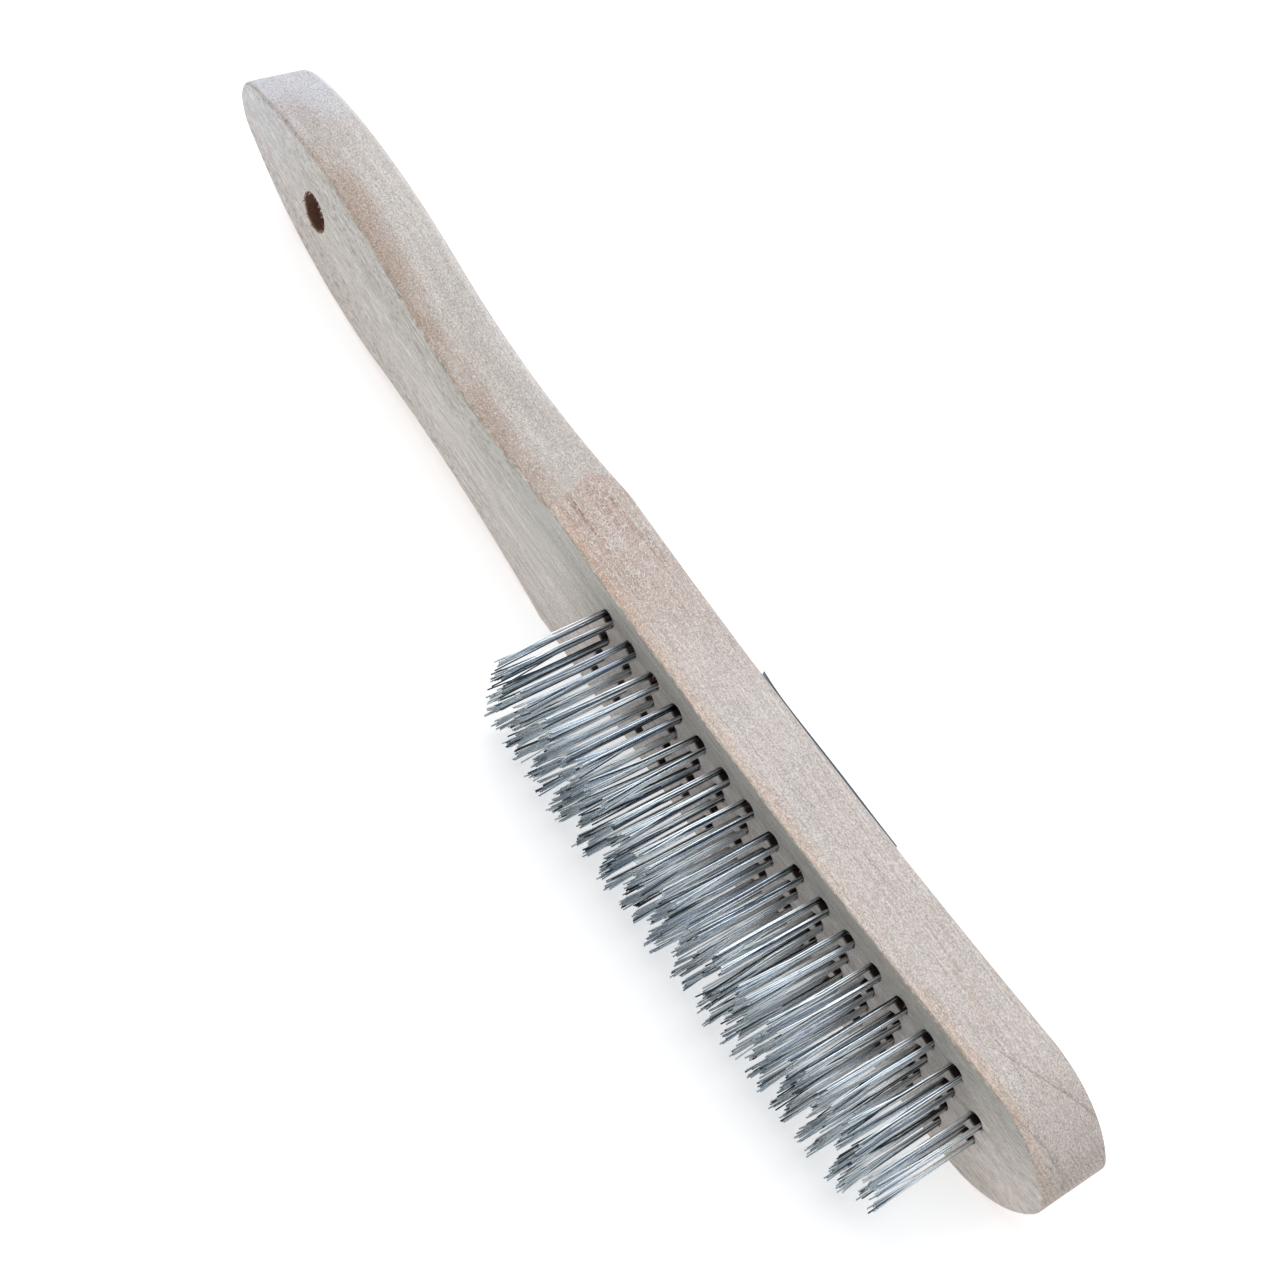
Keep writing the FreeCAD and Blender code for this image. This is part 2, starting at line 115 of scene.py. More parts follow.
only(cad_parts["handle_block"])
bpy.ops.object.duplicate()
block = bpy.context.object
block.name = block.data.name = "hardwood_block"
block.parent = None
for key in list(block.keys()):
    del block[key]
bpy.ops.object.mode_set(mode="EDIT")
bpy.ops.mesh.select_all(action="SELECT")
bpy.ops.mesh.remove_doubles(threshold=0.002 * MM)
bpy.ops.mesh.dissolve_limited(angle_limit=math.radians(0.2))
bpy.ops.mesh.select_all(action="DESELECT")
bpy.ops.mesh.select_mode(type="EDGE")
shape = bmesh.from_edit_mesh(block.data)
for vert in shape.verts:
    near_tip = share(vert.co.x, tip_sanded_to, block_low.x) ** 2
    vert.co.x += tip_lean * near_tip * share(depth_in_block(vert.co), 0, block_thickness) ** 1.3
    vert.co.z = middle_z + (vert.co.z - middle_z) * (1 - tip_narrowing * near_tip)
for edge in shape.edges:
    ends = [vert.co for vert in edge.verts]
    on_face = all(abs(depth_in_block(co)) < on_surface for co in ends)
    on_back = all(abs(depth_in_block(co) - block_thickness) < on_surface for co in ends)
    at_tufts = all(abs(co.z - middle_z) < tufts_half_width and tufts_start < co.x < tufts_end for co in ends)
    if len(edge.link_faces) == 2 and (on_back or on_face and not at_tufts):
        edge.select = edge.calc_face_angle() > math.radians(35)
bmesh.update_edit_mesh(block.data)
bpy.ops.mesh.bevel(offset=edge_wear, segments=3, profile=0.6, clamp_overlap=False)
bpy.ops.object.mode_set(mode="OBJECT")
bpy.ops.object.shade_smooth_by_angle(angle=math.radians(28))
even = block.modifiers.new("even_shading", "WEIGHTED_NORMAL")
even.keep_sharp = True
bpy.ops.object.modifier_apply(modifier=even.name)


class Socket:
    """A shader socket that takes part in Python sums, each operator adding a Math node."""

    def __init__(self, tree, socket):
        self.tree, self.socket = tree, socket

    def node(self, kind, settings=None, inputs=None, output=0):
        """Any node: its settings are set first, then its sockets' values and links."""
        new = self.tree.nodes.new("ShaderNode" + kind)
        for name, value in (settings or {}).items():
            if name == "stops":
                for i, (position, colour) in enumerate(value):
                    stops = new.color_ramp.elements
                    stop = stops[i] if i < 2 else stops.new(position)
                    stop.position, stop.color = position, colour
            else:
                setattr(new, name, value)
        for name, value in (inputs or {}).items():
            if isinstance(value, Socket):
                self.tree.links.new(value.socket, new.inputs[name])
            else:
                new.inputs[name].default_value = value
        return Socket(self.tree, new.outputs[output])

    def math(self, operation, *values):
        return self.node("Math", {"operation": operation}, dict(enumerate([self, *values])))

    def __add__(self, other):
        return self.math("ADD", other)

    def __sub__(self, other):
        return self.math("SUBTRACT", other)

    def __rsub__(self, other):
        return self.node("Math", {"operation": "SUBTRACT"}, {0: other, 1: self})

    def __mul__(self, other):
        return self.math("MULTIPLY", other)

    __radd__, __rmul__ = __add__, __mul__

    def rise(self, low, high):
        """0 at low and 1 at high, with a smooth rise between them; the other way round falls."""
        if low > high:
            return 1 - self.rise(high, low)
        return self.node("MapRange", {"interpolation_type": "SMOOTHSTEP"},
                         {"Value": self, "From Min": low, "From Max": high})

    def noise(self, stretch, detail=3.0, roughness=0.5):
        """Noise on a place stretched first, so that its grain is about 1 / stretch long each way."""
        place = self.node("VectorMath", {"operation": "MULTIPLY"}, {0: self, 1: stretch})
        return self.node("TexNoise", {}, {"Vector": place, "Scale": 1.0, "Detail": detail,
                                          "Roughness": roughness})

    def scaled(self, amount):
        """A vector made longer or shorter, or a colour made lighter or darker as a whole."""
        return self.node("VectorMath", {"operation": "SCALE"}, {0: self, "Scale": amount})

    def toward(self, colour, amount):
        """This colour mixed toward another one."""
        return self.node("Mix", {"data_type": "RGBA"}, {0: amount, 6: self, 7: colour}, 2)

    def ramp(self, *stops):
        """A colour for each value: the stops are pairs of a value and its colour."""
        return self.node("ValToRGB", {"stops": stops}, {0: self})

    def xyz(self):
        """The three parts of a vector."""
        split = self.node("SeparateXYZ", {}, {0: self}).socket.node
        return [Socket(self.tree, output) for output in split.outputs]


def paint(red, green, blue):
    """A colour as a paint chart gives it, 0 to 255, made linear for a shader."""
    return tuple(((c / 255 + 0.055) / 1.055) ** 2.4 for c in (red, green, blue)) + (1.0,)


def finish_called(name, **fixed):
    """A new material with some fixed values: it, its shader, and the place in mm as a vector."""
    material = bpy.data.materials.new(name)
    material.use_nodes = True
    tree = material.node_tree
    shader = tree.nodes["Principled BSDF"]
    for socket, value in fixed.items():
        shader.inputs[socket.replace("_", " ")].default_value = value
    place = Socket(tree, tree.nodes.new("ShaderNodeTexCoord").outputs["Object"])
    return material, shader, place.scaled(1 / MM)


def feed(shader, socket, value):
    """Link a worked-out value to one of the shader's sockets."""
    value.tree.links.new(value.socket, shader.inputs[socket])


def dress(piece, material):
    """Give a piece one material in place of whatever it had."""
    piece.data.materials.clear()
    piece.data.materials.append(material)


def depth_at(x, y):
    """How far a place in a material lies behind the bristle face, in mm."""
    run, drop = x - arch_centre.x / MM, arch_centre.y / MM - y
    return arch_radius / MM - (run * run + drop * drop).math("SQRT")


beech_dark = paint(193, 182, 173)
beech_pale = paint(216, 209, 203)
sawn_pink = paint(222, 211, 205)
scorch = paint(190, 158, 141)
scorch_streak = paint(154, 114, 94)
rosy_streak = paint(206, 180, 164)
edge_orange = paint(219, 186, 160)
ring_brown = paint(150, 129, 115)
nose_end_shade = paint(178, 162, 150)
end_tick = paint(138, 122, 109)
handle_back_light = paint(200, 194, 191)
tip_cool_light = paint(208, 208, 214)
handle_brown = paint(176, 149, 131)
planed_grey = paint(203, 199, 193)
upper_face_shade = paint(180, 178, 168)
lower_face_bounce_light = paint(212, 198, 190)
face_margin_shade = paint(158, 154, 146)
crease_tan = paint(214, 186, 160)
chip_orange = paint(180, 138, 104)
chip_white = paint(240, 232, 222)
grain_dark = paint(120, 104, 90)
line_dark = paint(112, 94, 82)
fleck_white = paint(246, 242, 240)
fleck_brown = paint(170, 140, 124)
torn_grey = paint(112, 103, 94)
drilled_brown_shade = paint(66, 38, 26)
hang_brown_shade = paint(126, 78, 54)

wood, shader, place = finish_called("raw_beech", Specular_IOR_Level=0.3)
x, y, z = place.xyz()
thickness, half_width = block_thickness / MM, (block_high.z - middle_z) / MM
hole_edge = hang_hole_radius / MM + 0.1

# where each surface of the block is: its places in mm, and a mask from 0 to 1 for each of them
across = z - middle_z / MM
depth = depth_at(x, y)
out_from_middle = across.math("ABSOLUTE")
face = depth.rise(0.5, 0.15)
back = depth.rise(thickness - 0.5, thickness - 0.15)
drilled = (depth.rise(0.15, 0.45) * depth.rise(thickness - 0.4, thickness - 0.8)
           * out_from_middle.rise(11.6, 11.2) * x.rise(-50, -49) * x.rise(80, 79))
hang_run = x - hang_hole_x / MM
hang = ((hang_run * hang_run + across * across).math("SQRT").rise(hole_edge + 0.15, hole_edge)
        * depth.rise(0.1, 0.6) * depth.rise(thickness - 0.1, thickness - 0.6))
head = out_from_middle.rise(half_width - 0.24, half_width - 0.1) * x.rise(-80, -76)
head = head.math("MAXIMUM", x.rise(40, 42))
sawn_side = head * (1 - drilled) * (1 - face) * (1 - back)
handle = (1 - head) * x.rise(-50, -62)
planed_handle = handle * face
sanded = handle * (1 - face)

# what runs along the whole strip: wide pale and pinkish bands, fine grain lines and short pores
band = place.noise((0.013, 0.20, 0.20), 4.0, 0.55)
fine = place.noise((0.05, 2.1, 2.1), 4.0, 0.65)
hair = place.noise((0.07, 4.6, 4.6), 2.0, 0.6)
pores = place.noise((0.40, 4.6, 4.6), 2.0, 0.55)
patchy = place.noise((0.035, 0.11, 0.11), 3.0, 0.55)
streaky = place.noise((0.06, 0.85, 0.85), 3.0, 0.6)
fur = place.noise((2.4, 4.4, 4.4), 3.0, 0.65)
fluff = place.noise((4.2, 7.5, 7.5), 2.0, 0.6)
colour = band.ramp((0.34, beech_dark), (0.66, beech_pale))

# the sawn sides of the head: pinkish, browner by the handle, and orange beside the bristle face
colour = colour.toward(sawn_pink, sawn_side * 0.75)
scorched = sawn_side * x.rise(-12, -66) * (patchy.rise(0.28, 0.60) * 0.75 + 0.25)
colour = colour.toward(scorch, scorched * 0.66)
colour = colour.toward(scorch_streak, scorched * streaky.rise(0.50, 0.64) * 0.65)
colour = colour.toward(rosy_streak, sawn_side * streaky.rise(0.56, 0.66) * x.rise(-5, 20) * 0.5)
beside_face = sawn_side * depth.rise(3.8, 0.3) * (patchy.rise(0.35, 0.60) * 0.8 + 0.2)
colour = colour.toward(edge_orange, beside_face * 0.60)

# growth rings that the sawn side cuts slantwise, clearest near the nose
ring_run, ring_rise = x - 61, depth - 37
ring_out = (ring_run * ring_run + ring_rise * ring_rise).math("SQRT") + band * 2 + out_from_middle * 0.3
ring = (ring_out * 0.105).math("FRACT")
ring_line = ring.rise(0.93, 0.98) * ring.rise(1.0, 0.988) + ring.rise(0.5, 0.98) * 0.2
colour = colour.toward(ring_brown, ring_line * sawn_side * (x.rise(60, 76) * 0.40 + 0.04))
end_line = ((depth * 0.95 + across * 0.35 + band * 3) * 6.4).math("SINE")
end_grain = x.rise(86, 93) * sawn_side * patchy.rise(0.38, 0.55)
# the end of the nose painted darker: painted shade of an end that turns away from the light
colour = colour.toward(nose_end_shade, x.rise(89, 94) * sawn_side * 0.5)
colour = colour.toward(end_tick, end_grain * end_line.rise(0.45, 0.9) * 0.45)

# the handle: painted paler toward the back and cool white toward the tip, painted light of the cool lamp
# behind, with brown along its front edges
shoulder = sanded * out_from_middle.rise(4.0, 9.0) * depth.rise(8.0, 2.4)
colour = colour.toward(handle_back_light, handle * depth.rise(9.0, 15.0) * 0.40)
colour = colour.toward(tip_cool_light, x.rise(-160, -188) * 0.85)
colour = colour.toward(handle_brown, shoulder * patchy.rise(0.30, 0.58) * x.rise(-189, -174) * 0.66)
colour = colour.toward(planed_grey, planed_handle * 0.55)

# the planed face is painted with its light: a greenish grey painted shade beside the upper edge, a pinkish
# painted light thrown up from the table below, and greyer painted shade of the tufts at the head
colour = colour.toward(upper_face_shade, face * across.rise(3.0, 13.0) * x.rise(-150, -90) * 0.50)
colour = colour.toward(lower_face_bounce_light, face * across.rise(3.0, -6.0) * 0.45)
colour = colour.toward(face_margin_shade, face * (1 - handle) * out_from_middle.rise(7.5, 12.5) * 0.35)

# a broken line of orange and white splinters along the front edges, and burnt brown holes, painted dark as
# well with the shade deep inside them
crease = (depth.rise(0.8, 0.3) * sanded + depth.rise(0.34, 0.12) * head * out_from_middle.rise(15.3, 15.9)
          + planed_handle * depth.rise(0.05, 0.15))
chips = place.noise((0.75, 1.6, 1.6), 3.0, 0.7)
colour = colour.toward(crease_tan, crease * (0.20 + sawn_side * 0.45))
colour = colour.toward(chip_orange, crease * chips.rise(0.50, 0.60) * x.rise(-192, -176) * 0.60)
colour = colour.toward(chip_white, crease * chips.rise(0.46, 0.38) * x.rise(-150, -110) * 0.7)

# over all of it lie the grain, the pores and the fur of short fibres that lie along the grain
grain = (fine - 0.5) * (0.80 - sanded * 0.40 - face * 0.40) + (hair - 0.5) * (0.35 + face * 0.95)
fuzz = ((fur - 0.5) * (sawn_side * 1.1 + sanded * 1.2 + 0.50)
        + (fluff - 0.5) * (sawn_side * 1.4 + sanded * 1.2 + face * 0.4 + 1.1))
colour = colour.scaled(1.03 + grain + (pores - 0.5) * 0.5 + fuzz)
colour = colour.toward(grain_dark, fine.rise(0.40, 0.28) * 0.22 * (1 - sanded * 0.6))
long_line = (streaky - 0.5).math("ABSOLUTE").rise(0.008, 0.0) * patchy.rise(0.42, 0.56)
colour = colour.toward(line_dark, long_line * (face * 0.6 + sawn_side * 0.16 + sanded * 0.18))
colour = colour.toward(fleck_white, (sawn_side * 0.75 + sanded * 0.40) * fur.rise(0.53, 0.66))
colour = colour.toward(fleck_brown, (sawn_side * 0.40 + sanded * 0.30) * fluff.rise(0.54, 0.68))
dashes = place.noise((0.60, 2.2, 2.2), 3.0, 0.62).rise(0.55, 0.64)
torn_line = planed_handle * (out_from_middle.rise(2.0, 8.0) * x.rise(-60, -95) * 0.9 + 0.10)
colour = colour.toward(torn_grey, dashes * torn_line * 0.50)
# painted shade: the brown walls of the holes and of the hang hole are painted as dark as they look in their
# own shadow
colour = colour.toward(drilled_brown_shade, drilled * 0.94)
colour = colour.toward(hang_brown_shade, hang * (0.75 + fine * 0.3))
feed(shader, "Base Color", colour)
feed(shader, "Roughness", 0.58 + fine * 0.18)
relief = ((sawn_side + sanded * 0.6) * (fur + fluff * 0.6) + face * fluff * 0.4 + fine * 0.35 + hair * 0.25
          - dashes * torn_line * 1.3)
feed(shader, "Normal", place.node("Bump", {}, {"Strength": 0.5, "Distance": 0.18 * MM, "Height": relief}))
dress(block, wood)
settle(block, "block_wood", "handle_block")


# ---------------------------------------------------------------- torn fibres and slivers
# The spindle tore up the grain where it left the handle, and white curled fibres stand there on
# the flat side.  The drills left short slivers at the rims of the holes, brown and unsanded.
# A fibre's curl is the list of its turns, in degrees.
fibre_radius = 0.065 * MM
fibre_step = 0.38 * MM
fibre_count = 190
fibres_from, fibres_to, fibres_thickest = -73 * MM, -36 * MM, -52.65 * MM
fibre_depths = (3.5 * MM, 14.0 * MM)
hooked = [0, 12, 20, 34, 40, 30, 8]
wavy = [0, 22, 18, -24, -38, -22, 16, 26]
nearly_straight = [4, -8, 6, 10, -12]
sliver_length, sliver_width = 1.1 * MM, 0.20 * MM
slivers_at_hole, slivers_at_hang_hole = 3, 46
hole_radius = 2.0 * MM
columns = [9.0 * MM, 3.0 * MM, -3.0 * MM, -9.0 * MM]
chance = random.Random(41)


def curled_fibre(name, turns):
    """A thin five-sided fibre, lying flat, extruded step by step and turned in degrees at each."""
    bpy.ops.object.select_all(action="DESELECT")
    bpy.ops.mesh.primitive_circle_add(vertices=5, radius=fibre_radius, fill_type="NGON",
                                      rotation=(0, math.radians(90), 0))
    fibre = bpy.context.object
    fibre.name = fibre.data.name = name
    bpy.ops.object.transform_apply(location=True, rotation=True, scale=True)
    bpy.ops.object.mode_set(mode="EDIT")
    bpy.ops.mesh.select_all(action="SELECT")
    heading, end = 0.0, Vector((0, 0, 0))
    for turn in turns:
        heading += math.radians(turn)
        stride = Vector((math.cos(heading), math.sin(heading), 0)) * fibre_step
        end = end + stride
        bpy.ops.mesh.extrude_region_move(TRANSFORM_OT_translate={"value": stride})
        bpy.ops.transform.rotate(value=-math.radians(turn), orient_axis="Z", center_override=end)
        bpy.ops.transform.resize(value=(0.9, 0.9, 0.9), center_override=end)
    bpy.ops.mesh.select_all(action="SELECT")
    bpy.ops.mesh.normals_make_consistent(inside=False)
    bpy.ops.object.mode_set(mode="OBJECT")
    return fibre


def laid(piece, matrix):
    """A copy of a small piece with its own mesh, moved to its place."""
    copy = piece.copy()
    copy.data = piece.data.copy()
    copy.data.transform(matrix)
    bpy.context.collection.objects.link(copy)
    return copy


def as_one(pieces, name):
    """Join pieces to one, with a new name."""
    only(pieces[0])
    for each in pieces:
        each.select_set(True)
    bpy.ops.object.join()
    bpy.context.object.name = bpy.context.object.data.name = name
    return bpy.context.object


curls = [curled_fibre("curl", turns) for turns in (hooked, wavy, nearly_straight)]
fibres = []
for number in range(fibre_count):
    x_at = chance.triangular(fibres_from, fibres_to, fibres_thickest)
    at, _ = on_the_arch(x_at, chance.triangular(*fibre_depths))
    at.z = block_high.z + fibre_radius * chance.uniform(-0.2, 0.4)
    size = chance.uniform(0.55, 1.15)
    turned = Matrix.Rotation(chance.uniform(-math.pi, math.pi), 4, "Z")
    mirrored = Matrix.Diagonal((1, chance.choice((-1, 1)), 1, 1))
    fibres.append(laid(curls[number % len(curls)], Matrix.Translation(at) @ turned @ mirrored
                       @ Matrix.Diagonal((size, size, 1, 1))))
torn = as_one(fibres, "torn_fibres")
bpy.ops.object.mode_set(mode="EDIT")
bpy.ops.mesh.select_all(action="SELECT")
bpy.ops.mesh.normals_make_consistent(inside=False)
bpy.ops.object.mode_set(mode="OBJECT")
for curl in curls:
    bpy.data.objects.remove(curl)

bpy.ops.object.select_all(action="DESELECT")
bpy.ops.mesh.primitive_cone_add(vertices=4, radius1=sliver_width, radius2=0, depth=sliver_length,
                                location=(0, 0, sliver_length / 2))
sliver = bpy.context.object
sliver.name = sliver.data.name = "sliver"
bpy.ops.object.transform_apply(location=True, rotation=True, scale=True)


def sliver_on_rim(x, height, radius, angle, inward):
    """A sliver that starts in the rim of a hole and points across it or out over the face."""
    base, outward = on_the_arch(x)
    along = Vector((-outward.y, outward.x, 0))
    spoke = along * math.cos(angle) + Vector((0, 0, math.sin(angle)))
    root = base + Vector((0, 0, height)) + spoke * (radius + 0.05 * MM) - outward * 0.10 * MM
    tip_way = outward * chance.uniform(0.1, 0.7) - spoke * inward + along * chance.gauss(0, 0.35)
    turned = Vector((0, 0, 1)).rotation_difference(tip_way).to_matrix().to_4x4()
    size = chance.uniform(0.5, 1.1)
    return laid(sliver, Matrix.Translation(root) @ turned @ Matrix.Diagonal((size, size * 0.6, size, 1)))


rim_slivers = []
for row in range(row_count):
    for height in columns[1:3] if row == row_count - 1 else columns:
        for _ in range(slivers_at_hole):
            rim_slivers.append(sliver_on_rim(first_row_x + row * row_pitch, middle_z + height, hole_radius,
                                             chance.gauss(0.3, 0.9), chance.uniform(-0.4, 0.8)))
rims = as_one(rim_slivers, "hole_slivers")
hang_slivers = [sliver_on_rim(hang_hole_x, middle_z, hang_hole_radius, chance.uniform(-math.pi, math.pi),
                              chance.uniform(0.3, 1.0)) for _ in range(slivers_at_hang_hole)]
hang_rim = as_one(hang_slivers, "hang_hole_slivers")
bpy.data.objects.remove(sliver)

for piece, name, dark, pale in [
    (torn, "white_fibre", paint(232, 222, 214), paint(255, 255, 255)),
    (rims, "brown_sliver", paint(96, 64, 44), paint(190, 160, 130)),
    (hang_rim, "pale_sliver", paint(140, 100, 70), paint(232, 220, 206)),
]:
    wisp, shader, place = finish_called(name, Roughness=0.7, Specular_IOR_Level=0.2)
    streak = place.noise((1.3, 1.3, 1.3), 2.0, 0.6)
    feed(shader, "Base Color", streak.ramp((0.35, dark), (0.55, pale)))
    dress(piece, wisp)
    settle(piece, "block_wood")


# ---------------------------------------------------------------- wire tufts
# Bright drawn steel wires, folded in half over the anchors and packed into the drilled holes, so
# that each tuft stands as two halves.  The brush is trimmed after filling, never quite evenly.
wire_radius = 0.155 * MM
wire_trim = 25.0 * MM
half_offset = 1.45 * MM
mouth_depth = 5.0 * MM
fold_depth = 9.35 * MM
fold_radius = 0.42 * MM
bend_height = 12.0 * MM
layers = [-0.17 * MM, 0.17 * MM]
places_across = [(i - 2.5) * 0.36 * MM for i in range(6)]
gathered_at_fold = 0.25

# in mm, along and across the brush: how the wires of a tuft fan out, and how far each one strays
middle_fan, tip_fan = (0.05, 0.30), (0.15, 0.85)
root_stray, middle_stray, tip_stray = (0.025, 0.02), (0.12, 0.12), (0.38, 0.34)
tuft_lean, lean_at_middle = 0.42, 0.40
usual_short, short_stray, least_short = 0.9, 0.42, 0.06
uncut_share = 0.08

bpy.ops.object.select_all(action="DESELECT")
bpy.ops.mesh.primitive_circle_add(vertices=6, radius=wire_radius, fill_type="NGON",
                                  location=(half_offset, -wire_trim, 0), rotation=(math.radians(90), 0, 0))
wire = bpy.context.object
wire.name = wire.data.name = "one_wire"
bpy.ops.object.transform_apply(location=True, rotation=True, scale=True)
bpy.ops.object.mode_set(mode="EDIT")
bpy.ops.mesh.select_all(action="SELECT")
here = (half_offset, -wire_trim)
for there in [(half_offset, -bend_height), (half_offset, mouth_depth), (fold_radius, fold_depth), "fold",
              (-half_offset, mouth_depth), (-half_offset, -bend_height), (-half_offset, -wire_trim)]:
    if there == "fold":
        bpy.ops.mesh.spin(steps=2, angle=math.radians(-180), center=(0, fold_depth, 0), axis=(0, 0, 1))
        here = (-fold_radius, fold_depth)
    else:
        bpy.ops.mesh.extrude_region_move(
            TRANSFORM_OT_translate={"value": (there[0] - here[0], there[1] - here[1], 0)})
        here = there
bpy.ops.mesh.select_all(action="SELECT")
bpy.ops.mesh.remove_doubles(threshold=0.001 * MM)
bpy.ops.mesh.normals_make_consistent(inside=False)
bpy.ops.object.mode_set(mode="OBJECT")
bpy.ops.object.shade_smooth_by_angle(angle=math.radians(62))


def bent_wire(layer, aside, hole, lean, height):
    """A copy of the wire for one place in a tuft, each leg bent and cut its own way."""
    copy = laid(wire, Matrix.Identity(4))
    base, outward = on_the_arch(hole)
    along = Vector((-outward.y, outward.x, 0))
    tone = chance.random()
    off_middle = aside / places_across[-1]
    legs = {}
    for leg in (-1, 1):
        legs[leg] = {
            "root": Vector((layer + chance.gauss(0, root_stray[0]) * MM, 0,
                            aside + chance.gauss(0, root_stray[1]) * MM)),
            "middle": Vector((leg * middle_fan[0] + chance.gauss(0, middle_stray[0]), 0,
                              off_middle * middle_fan[1] + chance.gauss(0, middle_stray[1]))) * MM,
            "tip": Vector((leg * tip_fan[0] + chance.gauss(0, tip_stray[0]), 0,
                           off_middle * tip_fan[1] + chance.gauss(0, tip_stray[1]))) * MM,
            "short": max(least_short, chance.gauss(usual_short, short_stray)
                         if chance.random() > uncut_share else 0.0) * MM,
        }
    for vert in copy.data.vertices:
        leg = legs[1 if vert.co.x > 0 else -1]
        half = lean[1 if vert.co.x > 0 else -1]
        out = -vert.co.y
        gathered = min(1.0, max(gathered_at_fold, (fold_depth + out) / (fold_depth - mouth_depth)))
        spot = vert.co + leg["root"] * gathered
        if out > bend_height / 2:
            spot += leg["middle"] + half * lean_at_middle
        if out > (bend_height + wire_trim) / 2:
            spot += leg["tip"] - leg["middle"] + half * (1 - lean_at_middle)
            spot.y += leg["short"]
        vert.co = base + along * spot.x - outward * spot.y + Vector((0, 0, spot.z + height))
    tones = copy.data.attributes.new("tone", "FLOAT", "FACE")
    ends = copy.data.attributes.new("cut_end", "FLOAT", "FACE")
    for face_of_wire in copy.data.polygons:
        tones.data[face_of_wire.index].value = tone
        ends.data[face_of_wire.index].value = float(len(face_of_wire.vertices) > 4)
    return copy


steel, shader, place = finish_called("bright_wire", Metallic=1.0)
x, y, z = place.xyz()
tone = place.node("Attribute", {"attribute_name": "tone"}, {}, 2)
cut_end = place.node("Attribute", {"attribute_name": "cut_end"}, {}, 2)
scratch = place.noise((3.0, 0.5, 3.0), 3.0, 0.6)
near_root_shade = depth_at(x, y).rise(-5.5, -0.5)
near_tip = depth_at(x, y).rise(-17.0, -23.0)
colour = tone.ramp((0.11, paint(56, 64, 72)), (0.24, paint(204, 220, 240)), (0.42, paint(246, 252, 255)))
colour = colour.toward(paint(96, 106, 110), scratch.rise(0.52, 0.72) * 0.35)
# painted shade and a painted reflection of the brown wood on the wires near their roots
colour = colour.toward(paint(104, 98, 90), near_root_shade * 0.32)
colour = colour.toward(paint(92, 112, 118), near_tip * 0.26)
colour = colour.toward(paint(66, 74, 76), cut_end * 0.85)
feed(shader, "Base Color", colour)
feed(shader, "Roughness", 0.16 + tone * 0.12 + scratch * 0.10 + cut_end * 0.3)

for row in range(row_count):
    hole = first_row_x + row * row_pitch
    wires = []
    for height in columns[1:3] if row == row_count - 1 else columns:
        lean = {leg: Vector((chance.gauss(0, tuft_lean), 0, chance.gauss(0, tuft_lean))) * MM
                for leg in (-1, 1)}
        for layer in layers:
            for aside in places_across:
                wires.append(bent_wire(layer, aside, hole, lean, middle_z + height))
    tuft_row = as_one(wires, f"wire_row_{row + 1:02d}")
    dress(tuft_row, steel)
    settle(tuft_row, "tuft_wire", f"tuft_row_{row + 1:02d}")
bpy.data.objects.remove(wire)


# ---------------------------------------------------------------- steel anchors
# Flat bits of strip steel, driven in over the fold of each tuft.  They bite into the walls of the
# holes and hold the wires, deep in the block where nothing of them shows.
strip, shader, place = finish_called("anchor_strip", Metallic=1.0)
rolled = place.noise((1.2, 1.2, 9.0), 3.0, 0.6)
feed(shader, "Base Color", rolled.ramp((0.3, paint(120, 122, 124)), (0.8, paint(186, 188, 188))))
feed(shader, "Roughness", 0.35 + rolled * 0.25)
for row in range(row_count):
    dress(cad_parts[f"anchor_row_{row + 1:02d}"], strip)


# ---------------------------------------------------------------- paper label
# A printed paper label, glued round the back of the head.  Its glue has let go along the upper
# edge, most of all at the corner by the handle, and the paper stands away there.
label_low, label_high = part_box("back_label")
paper_thickness = 0.18 * MM
edge_lift, edge_lift_width = 0.42 * MM, 6.0 * MM
corner_lift, corner_size = 0.38 * MM, 8.0 * MM
ripple_height, ripple_length = 0.18, 5.5 * MM
glue_gap = 0.01 * MM

bpy.ops.object.select_all(action="DESELECT")
bpy.ops.mesh.primitive_grid_add(x_subdivisions=44, y_subdivisions=32, size=1,
                                location=(label_low + label_high) * Vector((0.5, 0, 0.5)),
                                rotation=(math.radians(90), 0, 0))
label = bpy.context.object
label.name = label.data.name = "paper_label"
label.scale = (label_high.x - label_low.x, label_high.z - label_low.z, 1)
bpy.ops.object.transform_apply(location=True, rotation=True, scale=True)
for vert in label.data.vertices:
    from_edge = (label_high.z - vert.co.z) / edge_lift_width
    from_corner = ((vert.co.x - label_low.x) + (label_high.z - vert.co.z) * 0.55) / corner_size
    ripple = 1 + ripple_height * math.sin(vert.co.x / ripple_length)
    lift = edge_lift * ripple * max(0, 1 - from_edge) ** 2 + corner_lift * max(0, 1 - from_corner) ** 2
    stuck, outward = on_the_arch(vert.co.x, block_thickness)
    vert.co.x, vert.co.y, _ = stuck - outward * (paper_thickness / 2 + glue_gap + lift)
only(label)
bpy.ops.object.mode_set(mode="EDIT")
bpy.ops.mesh.select_all(action="SELECT")
bpy.ops.mesh.normals_make_consistent(inside=False)
bpy.ops.object.mode_set(mode="OBJECT")
thick = label.modifiers.new("paper", "SOLIDIFY")
thick.thickness = paper_thickness
thick.offset = 0.0
bpy.ops.object.modifier_apply(modifier=thick.name)
bpy.ops.object.shade_smooth_by_angle(angle=math.radians(40))
glued_side = label.data.attributes.new("glued_side", "FLOAT", "FACE")
for part in label.data.polygons:
    glued_side.data[part.index].value = float(part.normal.y < -0.5)

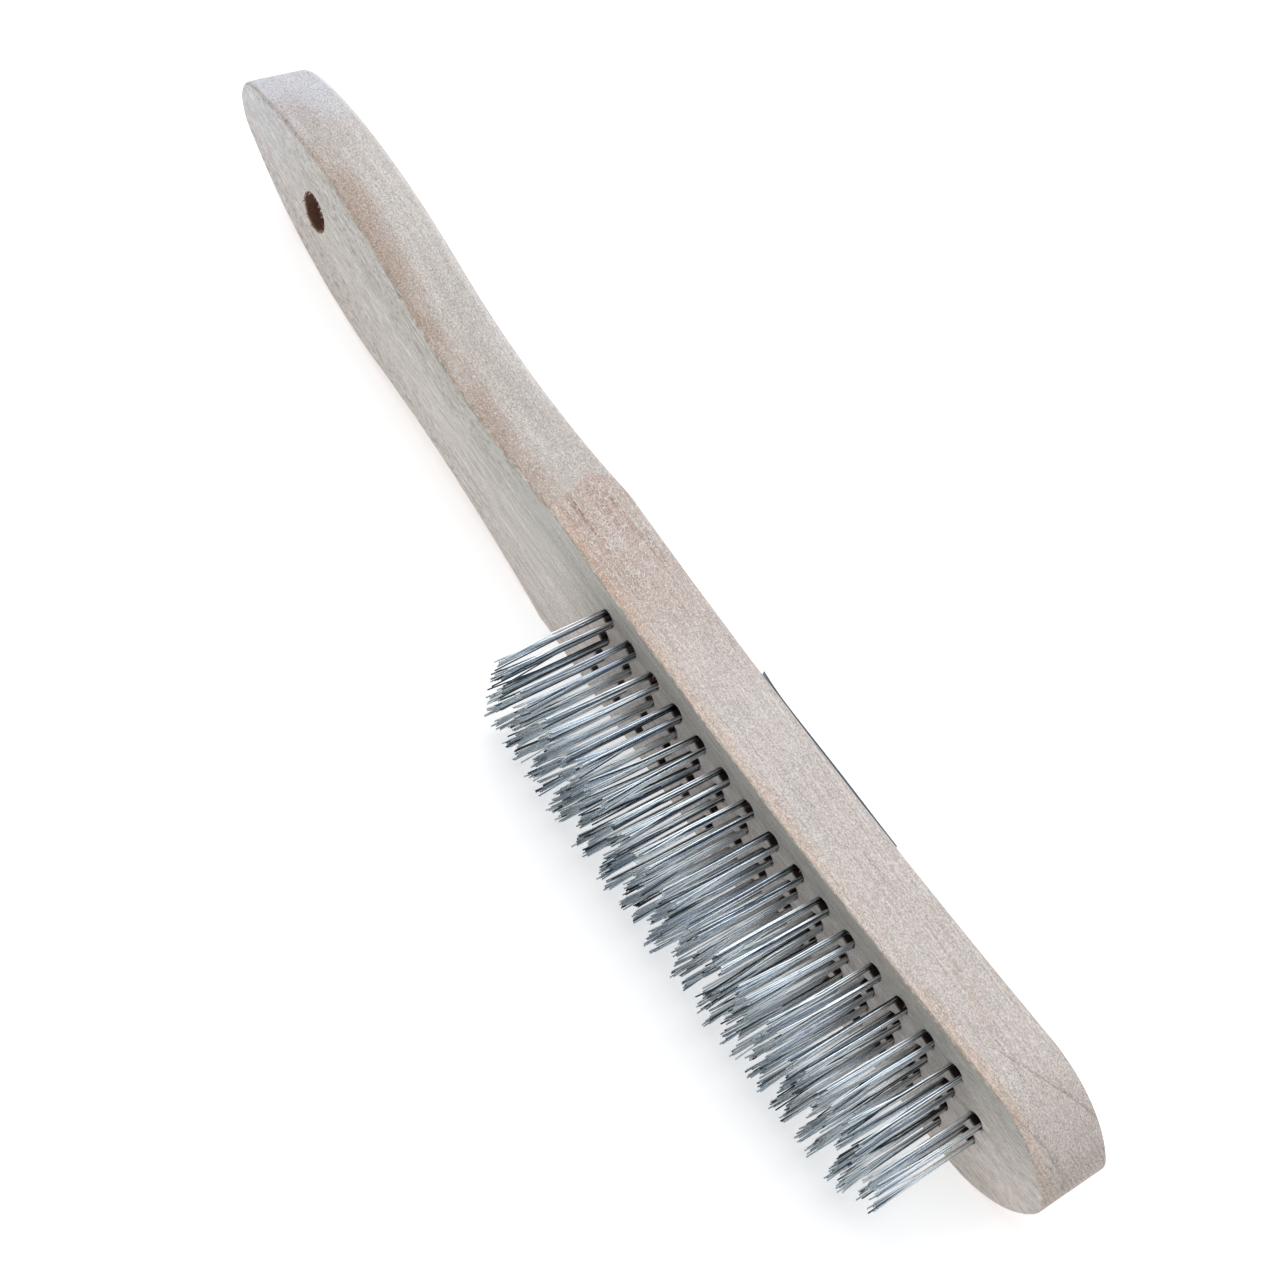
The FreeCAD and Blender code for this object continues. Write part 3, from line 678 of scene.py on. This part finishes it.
paper, shader, place = finish_called("printed_paper", Specular_IOR_Level=0.5)
x, y, z = place.xyz()
left, right = label_low.x / MM, label_high.x / MM
low, high = label_low.z / MM, label_high.z / MM
pulp = place.noise((6.0, 6.0, 6.0), 3.0, 0.6)
inset = (x - left).math("MINIMUM", right - x).math("MINIMUM", (z - low).math("MINIMUM", high - z))
off_centre = (z - (low + high) / 2).math("ABSOLUTE")
colour = pulp.ramp((0.3, paint(34, 46, 64)), (0.7, paint(46, 62, 84)))
field = inset.rise(2.0, 2.15)
colour = colour.toward(paint(206, 214, 220), field)
colour = colour.toward(paint(84, 116, 146), field * off_centre.rise(5.15, 5.0))
stripe = (x * (math.pi / 5.0)).math("SINE").rise(0.2, 0.35)
colour = colour.toward(paint(196, 206, 214), field * off_centre.rise(3.65, 3.5) * stripe)
colour = colour.toward(paint(150, 150, 146), inset.rise(0.5, 0.0) * pulp.rise(0.4, 0.6) * 0.4)
underside = place.node("Attribute", {"attribute_name": "glued_side"}, {}, 2)
colour = colour.toward(paint(176, 190, 208), underside * (0.85 + pulp * 0.15))
feed(shader, "Base Color", colour)
feed(shader, "Roughness", 0.34 + pulp * 0.14)
feed(shader, "Normal", place.node("Bump", {}, {"Strength": 0.25, "Distance": 0.05 * MM, "Height": pulp}))
dress(label, paper)
settle(label, "label_paper", "back_label")


# ---------------------------------------------------------------- floor, light and camera
# The brush lies on one flat side of its head, on a white table, under a broad soft light with a
# cooler one behind it.
bpy.ops.object.select_all(action="DESELECT")
bpy.ops.mesh.primitive_plane_add(size=6, location=(0, 0, cad_low.z))
floor = bpy.context.object
floor.name = floor.data.name = "white_table"
bpy.ops.object.transform_apply(location=True, rotation=True, scale=True)
matt, shader, place = finish_called("white_table", Roughness=0.9, Specular_IOR_Level=0.1,
                                    Emission_Color=(1, 1, 1, 1), Emission_Strength=0.48)
speck = place.noise((0.02, 0.02, 0.02), 2.0, 0.5)
feed(shader, "Base Color", speck.ramp((0.2, paint(247, 247, 248)), (0.8, paint(251, 251, 251))))
dress(floor, matt)

for name, spot, aim, size, power, colour in [
    ("overhead", (-0.15, 0.50, 1.30), (0, 0, 0), 2.2, 22.0, (1.0, 0.985, 0.965)),
    ("behind", (-0.95, 0.85, 0.50), (0, 0, 0), 0.9, 6.0, (0.80, 0.89, 1.0)),
    ("front", (0.1, -1.35, 0.22), (0, 0, 0.02), 0.8, 4.0, (0.97, 0.985, 1.0)),
]:
    bpy.ops.object.light_add(type="AREA", location=spot)
    lamp = bpy.context.object
    lamp.name = lamp.data.name = name
    lamp.rotation_euler = (Vector(aim) - Vector(spot)).to_track_quat("-Z", "Y").to_euler()
    lamp.data.size, lamp.data.energy, lamp.data.color = size, power, colour

world = bpy.data.worlds.new("studio")
world.use_nodes = True
world.node_tree.nodes["Background"].inputs["Color"].default_value = (0.62, 0.68, 0.74, 1)
world.node_tree.nodes["Background"].inputs["Strength"].default_value = 0.30
bpy.context.scene.world = world
bpy.context.scene.view_settings.view_transform = "Standard"

bpy.ops.object.camera_add(location=(0.25875, -0.30846, 0.65677))
camera = bpy.context.object
camera.data.lens = 111.75
camera.data.sensor_width = 36
camera.data.clip_start, camera.data.clip_end = 0.01, 20
to_the_right = Vector((0.53486, 0.83195, 0.14759)).normalized()
looking = Vector((-0.38994, 0.39800, -0.83039)).normalized()
upward = to_the_right.cross(looking).normalized()
turn = Matrix((to_the_right, upward, -looking)).transposed()
camera.rotation_euler = turn.to_euler()
bpy.context.scene.camera = camera
